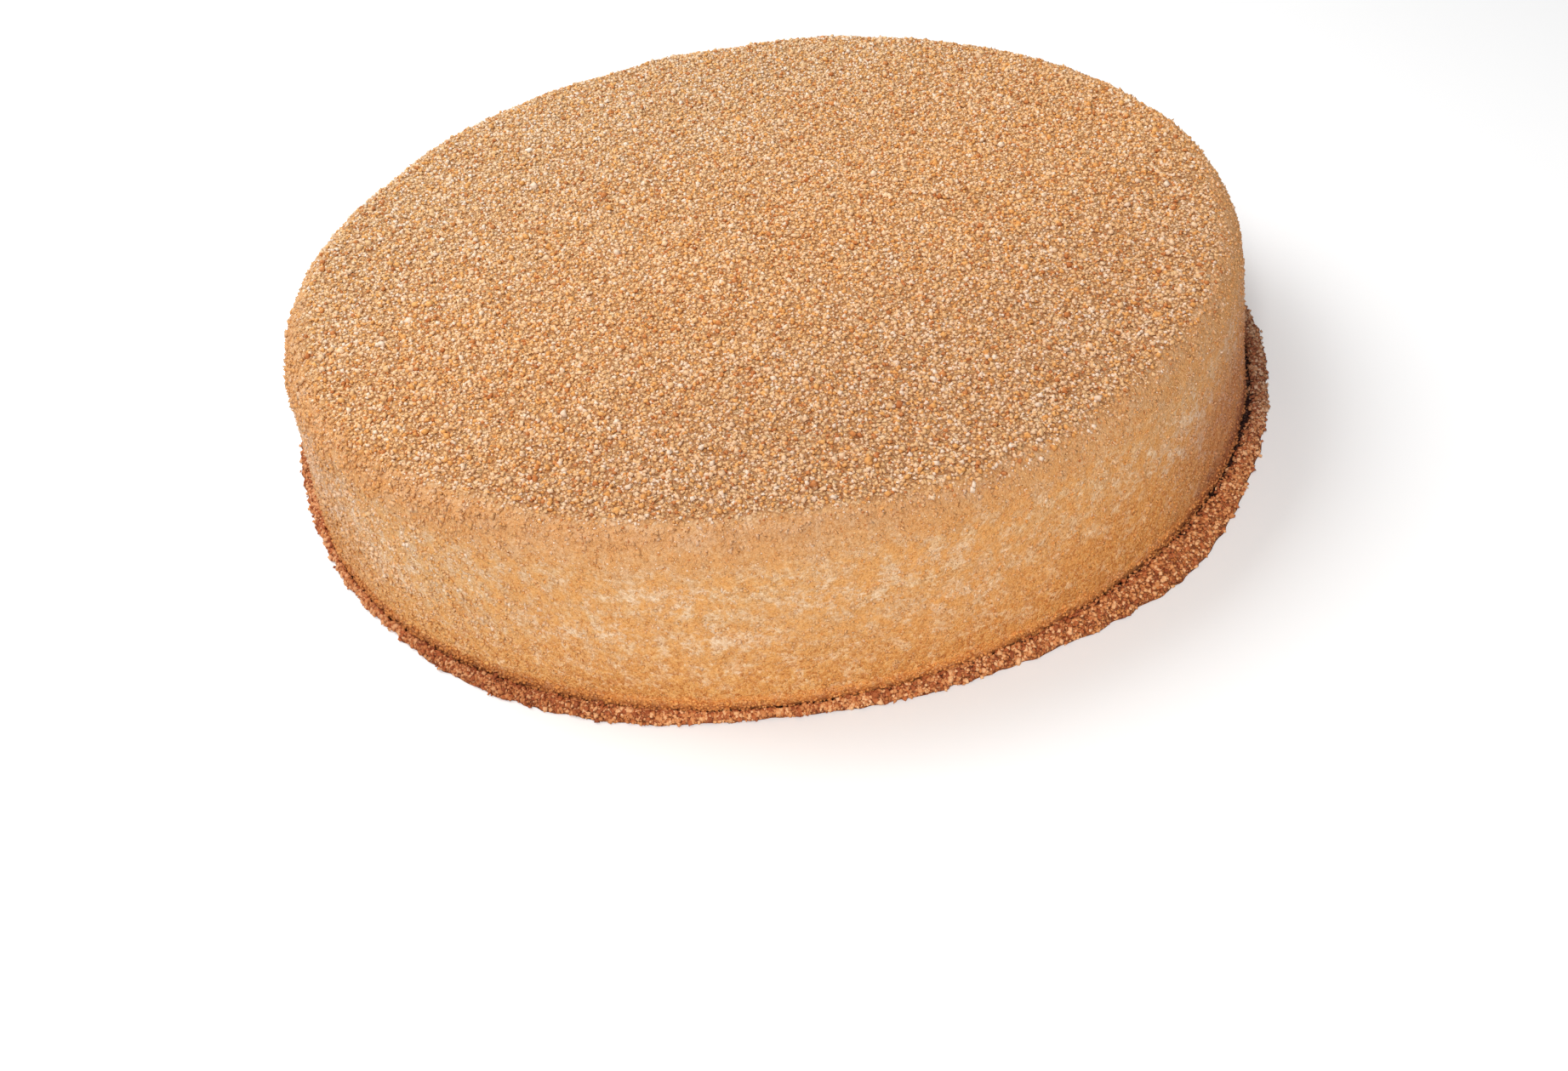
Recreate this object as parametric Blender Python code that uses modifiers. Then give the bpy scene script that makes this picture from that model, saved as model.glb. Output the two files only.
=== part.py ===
"""A round biscuit cake, 26 cm across and 5 cm high, covered all over in biscuit crumb.

The cake stands flat on its underside, with +Z up and its middle over the origin. It is whole and uncut,
so it is one solid: a turned body with a softly rounded rim and a side that spreads a little to the foot,
uneven by a millimetre or so, as a cake spread by hand is, with the largest of its crumbs standing out of it.
The crumbs that fell off the side lie round the foot as a second solid, a low bank of uneven width.
Sizes are in metres.
"""

import math
import random

import bmesh
import bpy
from mathutils import Euler, Vector, geometry, noise

# The body
TOP_RADIUS = 0.130  # where the side begins, under the rounded rim
HEIGHT = 0.0495
RIM_ROUNDING = 0.0085
FOOT_FLARE = 0.0032  # the side is this much wider at the foot than under the rim
FOOT_ROUNDING = 0.0024  # the foot turns in by this much before it meets the table
OUT_OF_ROUND = 0.0008
BODY_STEPS = 100
RIM_STEPS = 3
SIDE_STEPS = 5

# The rough surface. The top is a net of points, one for each small heap of coarse crumb.
TOP_POINTS = 1300
TOP_ROUGHNESS = 0.0007
RAISED = 0.0012  # one point in five stands this much higher, where a coarser crumb is bedded
SIDE_ROUGHNESS = 0.0003

# Low swells and hollows left by the palette knife
RELIEF = 0.0011
RELIEF_LENGTH = 0.027
RELIEF_FADE = (0.005, 0.016)  # heights between which the relief grows in, so that the foot stays true

# The bank of fallen crumbs round the foot
BANK_GAP = 0.0004  # between the cake's foot and the bank
BANK_WIDTH = 0.0048
BANK_LEAST_WIDTH = 0.0021
BANK_HEIGHT = 0.0022
BANK_RISE = 0.17  # height gained for each metre of width
BANK_STEPS = 116
# Where it is wider or narrower than that: direction in degrees, change of width, spread in degrees
BANK_SWELLS = (
    (-49, 0.0048, 13),
    (-3, 0.0028, 9),
    (31, 0.0022, 14),
    (74, 0.0013, 16),
    (118, 0.0017, 12),
    (177, 0.0044, 11),
    (-153, -0.0030, 15),
    (-96, -0.0012, 12),
)
# Its section, from 0 at the cake to 1 at its outer edge, and from 0 on the table to 1 at its crest
BANK_SECTION = ((1.0, 0.0), (0.93, 0.36), (0.70, 0.74), (0.40, 0.98), (0.14, 1.0), (0.0, 0.80), (0.0, 0.0))
BANK_RELIEF = 0.0005
BANK_RELIEF_LENGTH = 0.009

# The largest crumbs. Each size is from the crumb's middle to its corners.
TOP_CRUMBS = 118
CRUMB_SCATTER = 0.0038  # how far a crumb on the top lies off the even spiral
RIM_CRUMBS = 20
SIDE_CRUMBS = 14
FOOT_CRUMBS = 44
COARSE_CRUMB = (0.0018, 0.0029)
FINE_CRUMB = (0.0012, 0.0018)
FALLEN_CRUMB = (0.0013, 0.0022)
GOLDEN_ANGLE = math.pi * (3 - math.sqrt(5))

# Colours of the crumb: golden on the cake, darker and drier where it lies round the foot
CAKE_COLOUR = (0.68, 0.38, 0.17, 1)
FOOT_COLOUR = (0.42, 0.17, 0.06, 1)


def smooth_step(value, low, high):
    """0 below low, 1 above high, and a smooth rise between them."""
    t = min(max((value - low) / (high - low), 0.0), 1.0)
    return t * t * (3 - 2 * t)


def out_of_round(angle):
    """How far the side stands out of a true circle in this direction."""
    waves = 0.5 * math.sin(2 * angle + 0.6) + 0.3 * math.sin(3 * angle + 2.3) + 0.2 * math.sin(5 * angle + 4.0)
    return OUT_OF_ROUND * waves


def relief(point):
    """The palette knife's swells and hollows at this point of the surface."""
    fade = smooth_step(point.z, *RELIEF_FADE)
    return RELIEF * fade * noise.noise(point / RELIEF_LENGTH)


def body_section():
    """(radius, height) down the rim, the side and the foot, and in to the middle of the underside."""
    points = [rim_point(math.pi / 2 * (1 - step / RIM_STEPS)) for step in range(RIM_STEPS + 1)]
    for step in range(1, SIDE_STEPS + 1):
        points.append((side_radius(step / SIDE_STEPS), side_height(step / SIDE_STEPS)))
    points.append((TOP_RADIUS + FOOT_FLARE - 0.3 * FOOT_ROUNDING, 0.3 * FOOT_ROUNDING))
    points.append((TOP_RADIUS + FOOT_FLARE - FOOT_ROUNDING, 0.0))
    points.append((0.0, 0.0))
    return points


def rim_point(turn):
    """(radius, height) on the rounded rim, at this angle above the side's straight out."""
    radius = TOP_RADIUS - RIM_ROUNDING + RIM_ROUNDING * math.cos(turn)
    return radius, HEIGHT - RIM_ROUNDING + RIM_ROUNDING * math.sin(turn)


def side_radius(part):
    """The side's radius, from 0 under the rim to 1 at the foot: it spreads most near the foot."""
    return TOP_RADIUS + FOOT_FLARE * part**1.4


def side_height(part):
    top, foot = HEIGHT - RIM_ROUNDING, FOOT_ROUNDING
    return top + (foot - top) * part


def around(radius, height, angle):
    """The point at this direction of the body, where its section has this radius and height."""
    swollen = radius * (1 + out_of_round(angle) / TOP_RADIUS)
    return Vector((swollen * math.cos(angle), swollen * math.sin(angle), height))


def turned(name, profile, steps, closed):
    """An object turned about the Z axis from a profile of (radius, height) points."""
    mesh = bpy.data.meshes.new(name)
    corners = [(radius, 0, height) for radius, height in profile]
    edges = [(i, i + 1) for i in range(len(corners) - 1)]
    if closed:
        edges.append((len(corners) - 1, 0))
    mesh.from_pydata(corners, edges, [])
    obj = bpy.data.objects.new(name, mesh)
    parts.objects.link(obj)
    screw = obj.modifiers.new("Turn", "SCREW")
    screw.angle = math.tau
    screw.steps = steps
    screw.render_steps = steps
    screw.use_merge_vertices = True
    screw.merge_threshold = 0.00001
    apply_modifiers(obj)
    return obj


def apply_modifiers(obj):
    """Makes the object's mesh the one that its modifiers give."""
    bpy.context.view_layer.update()
    graph = bpy.context.evaluated_depsgraph_get()
    mesh = bpy.data.meshes.new_from_object(obj.evaluated_get(graph))
    obj.modifiers.clear()
    old, obj.data = obj.data, mesh
    bpy.data.meshes.remove(old)
    mesh.name = obj.name


def sunflower(count, scatter, draw):
    """Points spread evenly over the flat of the top on a sunflower spiral, each moved a little off it."""
    reach = TOP_RADIUS - RIM_ROUNDING - 0.0025
    for number in range(count):
        radius = reach * math.sqrt((number + 0.5) / count)
        angle = number * GOLDEN_ANGLE
        away = scatter * math.sqrt(draw.random()) * min(1.0, (reach - radius) / scatter)
        turn = draw.uniform(0, math.tau)
        x = radius * math.cos(angle) + away * math.cos(turn)
        y = radius * math.sin(angle) + away * math.sin(turn)
        yield Vector((x, y, HEIGHT))


def top_net(draw):
    """The top's points, each a little higher or lower than the next."""
    points = []
    for point in sunflower(TOP_POINTS, 0.0011, draw):
        point.z += relief(point) + draw.uniform(-TOP_ROUGHNESS, TOP_ROUGHNESS)
        if draw.random() < 0.2:
            point.z += RAISED
        points.append(point)
    return points


def make_body(net, draw):
    """The cake without its large crumbs: the turned rim, side and underside, closed by the net of the top."""
    body = turned("cake", body_section(), BODY_STEPS, closed=False)
    edit = bmesh.new()
    edit.from_mesh(body.data)
    bmesh.ops.remove_doubles(edit, verts=edit.verts, dist=0.00001)
    rim = [vert for vert in edit.verts if vert.is_boundary]
    rim.sort(key=lambda vert: math.atan2(vert.co.y, vert.co.x))
    flat = [vert.co.to_2d() for vert in rim] + [point.to_2d() for point in net]
    edges = [(i, (i + 1) % len(rim)) for i in range(len(rim))]
    faces = geometry.delaunay_2d_cdt(flat, edges, [], 0, 0.00001)[2]
    corners = rim + [edit.verts.new(point) for point in net]
    for face in faces:
        edit.faces.new([corners[i] for i in face])
    bmesh.ops.recalc_face_normals(edit, faces=edit.faces)
    edit.normal_update()
    for vert in corners[: len(rim)] + [vert for vert in edit.verts if 0.001 < vert.co.z < HEIGHT - 0.0001]:
        rough = SIDE_ROUGHNESS * smooth_step(vert.co.z, *RELIEF_FADE)
        lift = relief(vert.co) + draw.uniform(-rough, rough)
        vert.co += vert.normal * lift
    for vert in edit.verts:
        vert.co = around(vert.co.to_2d().length, vert.co.z, math.atan2(vert.co.y, vert.co.x))
    edit.to_mesh(body.data)
    edit.free()
    return body


def bank_inner(angle):
    """Radius of the bank's face against the cake."""
    return (TOP_RADIUS + FOOT_FLARE) * (1 + out_of_round(angle) / TOP_RADIUS) + BANK_GAP


def bank_width(angle):
    width = BANK_WIDTH
    for direction, change, spread in BANK_SWELLS:
        away = (math.degrees(angle) - direction + 180) % 360 - 180
        width += change * math.exp(-((away / spread) ** 2))
    return max(width, BANK_LEAST_WIDTH)


def bank_height(angle):
    return BANK_HEIGHT + BANK_RISE * bank_width(angle)


def make_bank():
    """The fallen crumbs as one low bank: its section turned round the cake, then drawn out to its width."""
    base = TOP_RADIUS
    profile = [(base + along * BANK_WIDTH, up * BANK_HEIGHT) for along, up in BANK_SECTION]
    bank = turned("foot_crumbs", profile, BANK_STEPS, closed=True)
    edit = bmesh.new()
    edit.from_mesh(bank.data)
    bmesh.ops.remove_doubles(edit, verts=edit.verts, dist=0.00001)
    for vert in edit.verts:
        angle = math.atan2(vert.co.y, vert.co.x)
        along = (math.hypot(vert.co.x, vert.co.y) - base) / BANK_WIDTH
        up = vert.co.z / BANK_HEIGHT
        radius = bank_inner(angle) + along * bank_width(angle)
        point = Vector((radius * math.cos(angle), radius * math.sin(angle), up * bank_height(angle)))
        uneven = BANK_RELIEF * noise.noise(point / BANK_RELIEF_LENGTH)
        if along > 0.05:
            point += Vector((math.cos(angle), math.sin(angle), 0)) * uneven
        if up > 0.05:
            point.z += uneven
        vert.co = point
    bmesh.ops.recalc_face_normals(edit, faces=edit.faces)
    edit.to_mesh(bank.data)
    edit.free()
    return bank


def add_crumb(place, normal, size, draw):
    """One angular crumb: a block with its corners broken unevenly, turned at random and pressed a little flat."""
    mesh = bpy.data.meshes.new("crumb")
    edit = bmesh.new()
    bmesh.ops.create_cube(edit, size=2 * size / math.sqrt(3))
    turn = Euler([draw.uniform(0, math.tau) for _ in range(3)]).to_matrix()
    for vert in edit.verts:
        vert.co *= draw.uniform(0.72, 1.12)
        vert.co.x *= 1.15
        vert.co = turn @ vert.co
        vert.co -= normal * (0.15 * vert.co.dot(normal))
    bmesh.ops.triangulate(edit, faces=edit.faces)
    edit.to_mesh(mesh)
    edit.free()
    crumb = bpy.data.objects.new("crumb", mesh)
    crumb.location = place
    crumbs.objects.link(crumb)


def add_body_crumbs(net, draw):
    """The coarsest crumbs: on points of the top's net, evenly round the rim, and on a spiral up the side."""
    for wanted in sunflower(TOP_CRUMBS, CRUMB_SCATTER, draw):
        point = min(net, key=lambda point: (point - wanted).length)
        size = draw.uniform(*COARSE_CRUMB)
        angle = math.atan2(point.y, point.x)
        place = around(point.to_2d().length, point.z + size * draw.uniform(0.05, 0.3), angle)
        add_crumb(place, Vector((0, 0, 1)), size, draw)
    for number in range(RIM_CRUMBS):
        angle = math.tau * (number + draw.uniform(-0.25, 0.25)) / RIM_CRUMBS
        turn = math.radians(draw.uniform(25, 70))
        size = draw.uniform(FINE_CRUMB[1], COARSE_CRUMB[0])
        normal = Vector((math.cos(turn) * math.cos(angle), math.cos(turn) * math.sin(angle), math.sin(turn)))
        place = around(*rim_point(turn), angle)
        add_crumb(place + normal * relief(place), normal, size, draw)
    for number in range(SIDE_CRUMBS):
        angle = number * GOLDEN_ANGLE
        part = 0.08 + 0.70 * (number + draw.uniform(0.2, 0.8)) / SIDE_CRUMBS
        size = draw.uniform(*FINE_CRUMB)
        normal = Vector((math.cos(angle), math.sin(angle), 0))
        place = around(side_radius(part), side_height(part), angle)
        add_crumb(place + normal * (relief(place) - 0.1 * size), normal, size, draw)


def add_foot_crumbs(draw):
    """The larger fallen crumbs, all round the bank, clear of the cake and of the table."""
    for number in range(FOOT_CRUMBS):
        angle = math.tau * (number + draw.uniform(-0.3, 0.3)) / FOOT_CRUMBS
        size = draw.uniform(*FALLEN_CRUMB)
        width, height = bank_width(angle), bank_height(angle)
        least = 1.3 * size / width  # far enough out to stay clear of the cake
        along = max(draw.uniform(0.3, 0.9), least)
        radius = bank_inner(angle) + along * width
        level = max(height * (1 - along) * 1.1, 1.3 * size + 0.0002)
        place = Vector((radius * math.cos(angle), radius * math.sin(angle), level))
        add_crumb(place, Vector((0, 0, 1)), size, draw)


def fuse_crumbs(obj):
    """Joins every crumb to the object, leaves out any that came loose, and removes the crumbs' own objects."""
    union = obj.modifiers.new("Crumbs", "BOOLEAN")
    union.operation = "UNION"
    union.operand_type = "COLLECTION"
    union.collection = crumbs
    union.solver = "MANIFOLD"
    apply_modifiers(obj)
    for crumb in list(crumbs.objects):
        bpy.data.meshes.remove(crumb.data)
    edit = bmesh.new()
    edit.from_mesh(obj.data)
    keep_largest_body(edit)
    bmesh.ops.triangulate(edit, faces=edit.faces)
    edit.to_mesh(obj.data)
    edit.free()


def keep_largest_body(edit):
    """Removes all but the body with the most corners."""
    left = set(edit.verts)
    bodies = []
    while left:
        start = left.pop()
        body, reach = {start}, [start]
        while reach:
            for edge in reach.pop().link_edges:
                for vert in edge.verts:
                    if vert in left:
                        left.discard(vert)
                        body.add(vert)
                        reach.append(vert)
        bodies.append(body)
    bodies.sort(key=len)
    for body in bodies[:-1]:
        bmesh.ops.delete(edit, geom=list(body), context="VERTS")


def give_material(obj, name, colour, roughness):
    material = bpy.data.materials.new(name)
    material.use_nodes = True
    shader = material.node_tree.nodes["Principled BSDF"]
    shader.inputs["Base Color"].default_value = colour
    shader.inputs["Roughness"].default_value = roughness
    shader.inputs["Metallic"].default_value = 0
    obj.data.materials.clear()
    obj.data.materials.append(material)
    obj.data.shade_smooth()
    obj.data.set_sharp_from_angle(angle=math.radians(35))


for old in list(bpy.data.objects):
    bpy.data.objects.remove(old)
parts = bpy.data.collections.new("biscuit_cake")
crumbs = bpy.data.collections.new("crumbs")
bpy.context.scene.collection.children.link(parts)
bpy.context.scene.collection.children.link(crumbs)

draw = random.Random(26)
net = top_net(draw)
cake = make_body(net, draw)
add_body_crumbs(net, draw)
fuse_crumbs(cake)
give_material(cake, "crumb_coating", CAKE_COLOUR, 0.85)

bank = make_bank()
add_foot_crumbs(draw)
fuse_crumbs(bank)
give_material(bank, "fallen_crumb", FOOT_COLOUR, 0.9)

bpy.data.collections.remove(crumbs)
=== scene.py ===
import math

import bmesh
import bpy
import numpy as np
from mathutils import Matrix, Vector, noise
from mathutils.bvhtree import BVHTree


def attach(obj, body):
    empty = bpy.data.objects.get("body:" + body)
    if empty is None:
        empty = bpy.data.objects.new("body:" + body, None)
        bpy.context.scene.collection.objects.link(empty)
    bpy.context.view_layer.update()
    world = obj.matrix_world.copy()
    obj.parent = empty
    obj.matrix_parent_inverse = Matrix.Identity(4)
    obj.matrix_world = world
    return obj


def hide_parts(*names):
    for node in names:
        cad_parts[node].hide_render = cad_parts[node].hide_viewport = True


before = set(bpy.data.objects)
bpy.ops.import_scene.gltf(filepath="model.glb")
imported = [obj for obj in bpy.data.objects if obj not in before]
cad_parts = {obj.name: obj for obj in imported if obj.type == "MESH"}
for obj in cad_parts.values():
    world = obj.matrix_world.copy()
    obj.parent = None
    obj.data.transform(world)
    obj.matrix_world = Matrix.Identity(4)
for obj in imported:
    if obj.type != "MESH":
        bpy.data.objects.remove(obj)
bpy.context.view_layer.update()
bpy.ops.object.select_all(action="DESELECT")


# The cake: whole, round and uncut, 26 cm across, standing on its flat underside. A coat of cream hides its
# layers and holds fine biscuit crumb all over. The palette knife rounded the rim, let the side spread a
# little to the foot, and left low swells and hollows.
TOP_RADIUS = 0.130
CAKE_HEIGHT = 0.0495
RIM_ROUNDING = 0.0085
FLAT_RADIUS = TOP_RADIUS - RIM_ROUNDING
SIDE_TOP = CAKE_HEIGHT - RIM_ROUNDING
FOOT_FLARE = 0.0032
FOOT_RADIUS = TOP_RADIUS + FOOT_FLARE
FOOT_ROUNDING = 0.0024
UNEVEN_RADIUS = 0.0008
SWELL_HEIGHT = 0.0009
SWELL_WIDTH = 0.027
AROUND = 840
FOOT_STEPS = 3
SIDE_STEPS = 40
RIM_STEPS = 13


def out_of_round(angle):
    waves = 0.5 * math.sin(2 * angle + 0.6) + 0.3 * math.sin(3 * angle + 2.3)
    waves += 0.2 * math.sin(5 * angle + 4.0)
    return UNEVEN_RADIUS * waves


def knife_swell(point):
    above_foot = min(max((point.z - 0.005) / 0.011, 0.0), 1.0)
    return SWELL_HEIGHT * above_foot * above_foot * (3 - 2 * above_foot) * noise.noise(point / SWELL_WIDTH)


def side_radius(part):
    """The side's radius, from 0 at the rim to 1 at the foot."""
    return TOP_RADIUS + FOOT_FLARE * part**1.4


def side_height(part):
    return SIDE_TOP + (FOOT_ROUNDING - CAKE_HEIGHT + RIM_ROUNDING) * part


def rim_point(turn):
    return FLAT_RADIUS + RIM_ROUNDING * math.cos(turn), SIDE_TOP + RIM_ROUNDING * math.sin(turn)


def only_selected(piece):
    bpy.ops.object.select_all(action="DESELECT")
    piece.select_set(True)
    bpy.context.view_layer.objects.active = piece


def finish_modifiers(piece):
    only_selected(piece)
    for modifier in list(piece.modifiers):
        bpy.ops.object.modifier_apply(modifier=modifier.name)


def rough_modifier(piece, name, grain, strength):
    """Pushes the surface in and out by a grain of this size."""
    texture = bpy.data.textures.new(name, "CLOUDS")
    texture.noise_scale = grain
    modifier = piece.modifiers.new(name, "DISPLACE")
    modifier.texture = texture
    modifier.texture_coords = "LOCAL"
    modifier.strength = strength
    modifier.vertex_group = "rough"


sections = [(FOOT_RADIUS - FOOT_ROUNDING, 0.0)]
for step in range(1, FOOT_STEPS + 1):
    turn = math.pi / 2 * step / FOOT_STEPS
    radius = FOOT_RADIUS - FOOT_ROUNDING * (1 - math.sin(turn))
    sections.append((radius, FOOT_ROUNDING * (1 - math.cos(turn))))
for step in range(1, SIDE_STEPS + 1):
    part = 1 - step / SIDE_STEPS
    sections.append((side_radius(part), side_height(part)))
sections += [rim_point(math.pi / 2 * step / RIM_STEPS) for step in range(1, RIM_STEPS + 1)]

bpy.ops.mesh.primitive_circle_add(vertices=AROUND, radius=sections[0][0], fill_type="NGON")
cake_coat = bpy.context.object
cake_coat.name = "cake_coat"
bpy.ops.object.mode_set(mode="EDIT")
bpy.ops.mesh.select_mode(type="FACE")
bpy.ops.mesh.select_all(action="SELECT")
for (radius, height), (wider, higher) in zip(sections, sections[1:]):
    bpy.ops.mesh.extrude_region_move(TRANSFORM_OT_translate={"value": (0, 0, higher - height)})
    bpy.ops.transform.resize(value=(wider / radius, wider / radius, 1))
bpy.ops.mesh.delete(type="ONLY_FACE")
bpy.ops.mesh.select_mode(type="EDGE")
bpy.ops.mesh.select_all(action="DESELECT")
edit = bmesh.from_edit_mesh(cake_coat.data)
for edge in edit.edges:
    edge.select_set(all(vert.co.z > CAKE_HEIGHT - 0.00001 for vert in edge.verts) and edge.is_boundary)
bmesh.update_edit_mesh(cake_coat.data)
bpy.ops.mesh.fill_grid(span=AROUND // 4, use_interp_simple=True)
bpy.ops.mesh.select_all(action="SELECT")
bpy.ops.mesh.normals_make_consistent(inside=False)
bpy.ops.object.mode_set(mode="OBJECT")

edit = bmesh.new()
edit.from_mesh(cake_coat.data)
edit.normal_update()
for vert in edit.verts:
    if vert.co.z > 0.0005:
        vert.co += vert.normal * knife_swell(vert.co)
    angle = math.atan2(vert.co.y, vert.co.x)
    swell = 1 + out_of_round(angle) / TOP_RADIUS
    vert.co.x *= swell
    vert.co.y *= swell
edit.to_mesh(cake_coat.data)
edit.free()
rough = cake_coat.vertex_groups.new(name="rough")
for vert in cake_coat.data.vertices:
    rough.add([vert.index], min(max((vert.co.z - 0.001) / 0.006, 0.0), 1.0), "REPLACE")
rough_modifier(cake_coat, "uneven coat", 0.0065, 0.0011)
rough_modifier(cake_coat, "pressed crumb", 0.0016, 0.0007)
finish_modifiers(cake_coat)
bpy.ops.object.shade_smooth()


def shader_group(name, inputs, outputs):
    """A node group with these sockets. Each input is its name, its kind and its usual value."""
    group = bpy.data.node_groups.new(name, "ShaderNodeTree")
    for label, kind, value in inputs:
        socket = group.interface.new_socket(label, in_out="INPUT", socket_type="NodeSocket" + kind)
        socket.default_value = value
    for label, kind in outputs:
        group.interface.new_socket(label, in_out="OUTPUT", socket_type="NodeSocket" + kind)
    return group, group.nodes.new("NodeGroupInput"), group.nodes.new("NodeGroupOutput")


def noise_node(tree, source, scale, detail=2.0, roughness=0.5):
    """Noise on the object's own place, with scale in grains to the metre."""
    node = tree.nodes.new("ShaderNodeTexNoise")
    node.inputs["Scale"].default_value = scale
    node.inputs["Detail"].default_value = detail
    node.inputs["Roughness"].default_value = roughness
    tree.links.new(source, node.inputs["Vector"])
    return node.outputs["Fac"]


def between(tree, source, low, high):
    """0 below low and 1 above high, smooth between."""
    node = tree.nodes.new("ShaderNodeMapRange")
    node.interpolation_type = "SMOOTHSTEP"
    node.inputs["From Min"].default_value = low
    node.inputs["From Max"].default_value = high
    tree.links.new(source, node.inputs["Value"])
    return node.outputs["Result"]


def mixed(tree, factor, first, second, blend="MIX"):
    """One colour over another by a factor. A colour is a socket or four numbers."""
    node = tree.nodes.new("ShaderNodeMix")
    node.data_type = "RGBA"
    node.blend_type = blend
    for value, socket in ((factor, node.inputs[0]), (first, node.inputs[6]), (second, node.inputs[7])):
        if isinstance(value, bpy.types.NodeSocket):
            tree.links.new(value, socket)
        else:
            socket.default_value = value
    return node.outputs[2]


def math_node(tree, operation, first, second):
    node = tree.nodes.new("ShaderNodeMath")
    node.operation = operation
    for value, socket in ((first, node.inputs[0]), (second, node.inputs[1])):
        if isinstance(value, bpy.types.NodeSocket):
            tree.links.new(value, socket)
        else:
            socket.default_value = value
    return node.outputs[0]


def grouped(tree, group):
    node = tree.nodes.new("ShaderNodeGroup")
    node.node_tree = group
    return node


# Where the coat is thin the cream shows through: wide pale patches where the knife pressed, and short level
# dashes. Crumb is thick and more golden low down. Right at the foot, and higher up on the right, the coat is
# painted dark brown: partly browner crumb, partly painted shade where the side meets the fallen crumb.
SIDE_MIDDLE = 0.131
THIN_PATCHES = (  # direction in degrees, height, half width, half height
    (-158, 0.031, 0.022, 0.012),
    (-147, 0.029, 0.022, 0.011),
    (-139, 0.021, 0.018, 0.005),
    (-112, 0.023, 0.018, 0.004),
    (-104, 0.034, 0.014, 0.005),
    (-99, 0.022, 0.018, 0.004),
    (-87, 0.031, 0.018, 0.004),
    (-77, 0.034, 0.014, 0.004),
    (-74, 0.022, 0.014, 0.004),
    (-44, 0.028, 0.022, 0.009),
    (-13, 0.022, 0.016, 0.005),
    (20, 0.028, 0.026, 0.009),
    (64, 0.022, 0.022, 0.005),
    (105, 0.031, 0.028, 0.008),
    (150, 0.020, 0.020, 0.006),
)
side_zones, _, zone_out = shader_group(
    "side_zones",
    [],
    [(label, "Float") for label in ("Cream", "Golden", "Foot_shade", "Rim", "Mottle", "Cloud")],
)
place = side_zones.nodes.new("ShaderNodeTexCoord").outputs["Object"]
level = side_zones.nodes.new("ShaderNodeSeparateXYZ")
side_zones.links.new(place, level.inputs[0])
thin = None
for direction, height, wide, high in THIN_PATCHES:
    middle = side_zones.nodes.new("ShaderNodeMapping")
    x = SIDE_MIDDLE * math.cos(math.radians(direction))
    y = SIDE_MIDDLE * math.sin(math.radians(direction))
    middle.inputs["Location"].default_value = (-x / wide, -y / wide, -height / high)
    middle.inputs["Scale"].default_value = (1 / wide, 1 / wide, 1 / high)
    side_zones.links.new(place, middle.inputs["Vector"])
    away = side_zones.nodes.new("ShaderNodeVectorMath")
    away.operation = "LENGTH"
    side_zones.links.new(middle.outputs["Vector"], away.inputs[0])
    patch = between(side_zones, away.outputs["Value"], 1.25, 0.35)
    thin = patch if thin is None else math_node(side_zones, "MAXIMUM", thin, patch)
streaked = side_zones.nodes.new("ShaderNodeMapping")
streaked.inputs["Scale"].default_value = (1, 1, 2.2)
side_zones.links.new(place, streaked.inputs["Vector"])
broken = noise_node(side_zones, streaked.outputs["Vector"], 340, 3.0, 0.65)
dashes = math_node(side_zones, "ADD", broken, math_node(side_zones, "MULTIPLY", thin, 0.12))
cream = math_node(side_zones, "MULTIPLY", between(side_zones, dashes, 0.52, 0.80), 0.75)
veil = math_node(side_zones, "MULTIPLY", thin, 0.24)
cream = math_node(side_zones, "MAXIMUM", cream, veil)
upper = between(side_zones, level.outputs["Z"], 0.006, 0.014)
under_rim = between(side_zones, level.outputs["Z"], 0.0485, 0.041)
cream = math_node(side_zones, "MULTIPLY", cream, math_node(side_zones, "MULTIPLY", upper, under_rim))
side_zones.links.new(cream, zone_out.inputs["Cream"])
wavy = math_node(side_zones, "MULTIPLY", noise_node(side_zones, place, 45, 3.0), 0.020)
low = math_node(side_zones, "ADD", level.outputs["Z"], wavy)
to_right = math_node(side_zones, "MULTIPLY", between(side_zones, level.outputs["X"], 0.02, 0.10), 0.009)
low = math_node(side_zones, "SUBTRACT", low, to_right)
side_zones.links.new(between(side_zones, low, 0.038, 0.015), zone_out.inputs["Golden"])
side_zones.links.new(between(side_zones, level.outputs["Z"], 0.0375, 0.0455), zone_out.inputs["Rim"])
# A ragged dark band painted along the foot, reaching higher on the right: partly browner crumb, partly
# painted shade.
ragged = math_node(side_zones, "MULTIPLY", noise_node(side_zones, place, 260, 3.0), 0.005)
low = math_node(side_zones, "ADD", level.outputs["Z"], ragged)
far_right_shade = between(side_zones, level.outputs["X"], 0.075, 0.125)
low = math_node(side_zones, "SUBTRACT", low, math_node(side_zones, "MULTIPLY", far_right_shade, 0.0060))
side_zones.links.new(between(side_zones, low, 0.0080, 0.0015), zone_out.inputs["Foot_shade"])
mottle = between(side_zones, noise_node(side_zones, streaked.outputs["Vector"], 75, 3.0, 0.6), 0.36, 0.64)
side_zones.links.new(mottle, zone_out.inputs["Mottle"])
cloud = between(side_zones, noise_node(side_zones, place, 260, 4.0, 0.65), 0.36, 0.64)
side_zones.links.new(cloud, zone_out.inputs["Cloud"])

# Painted light and shade, not the crumb's own colour. On top the crumb is painted paler at the back left,
# where the light falls, and darker in front. On the side it is painted darker at the far left and low down
# on the right, where shade falls, and paler at the front left. The fallen crumb is painted darkest on the
# right, in shade, and palest in front.
painted_light, _, painted_light_out = shader_group("painted_light", [], [("Shade", "Color")])
place = painted_light.nodes.new("ShaderNodeTexCoord").outputs["Object"]
level = painted_light.nodes.new("ShaderNodeSeparateXYZ")
painted_light.links.new(place, level.inputs[0])


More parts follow.
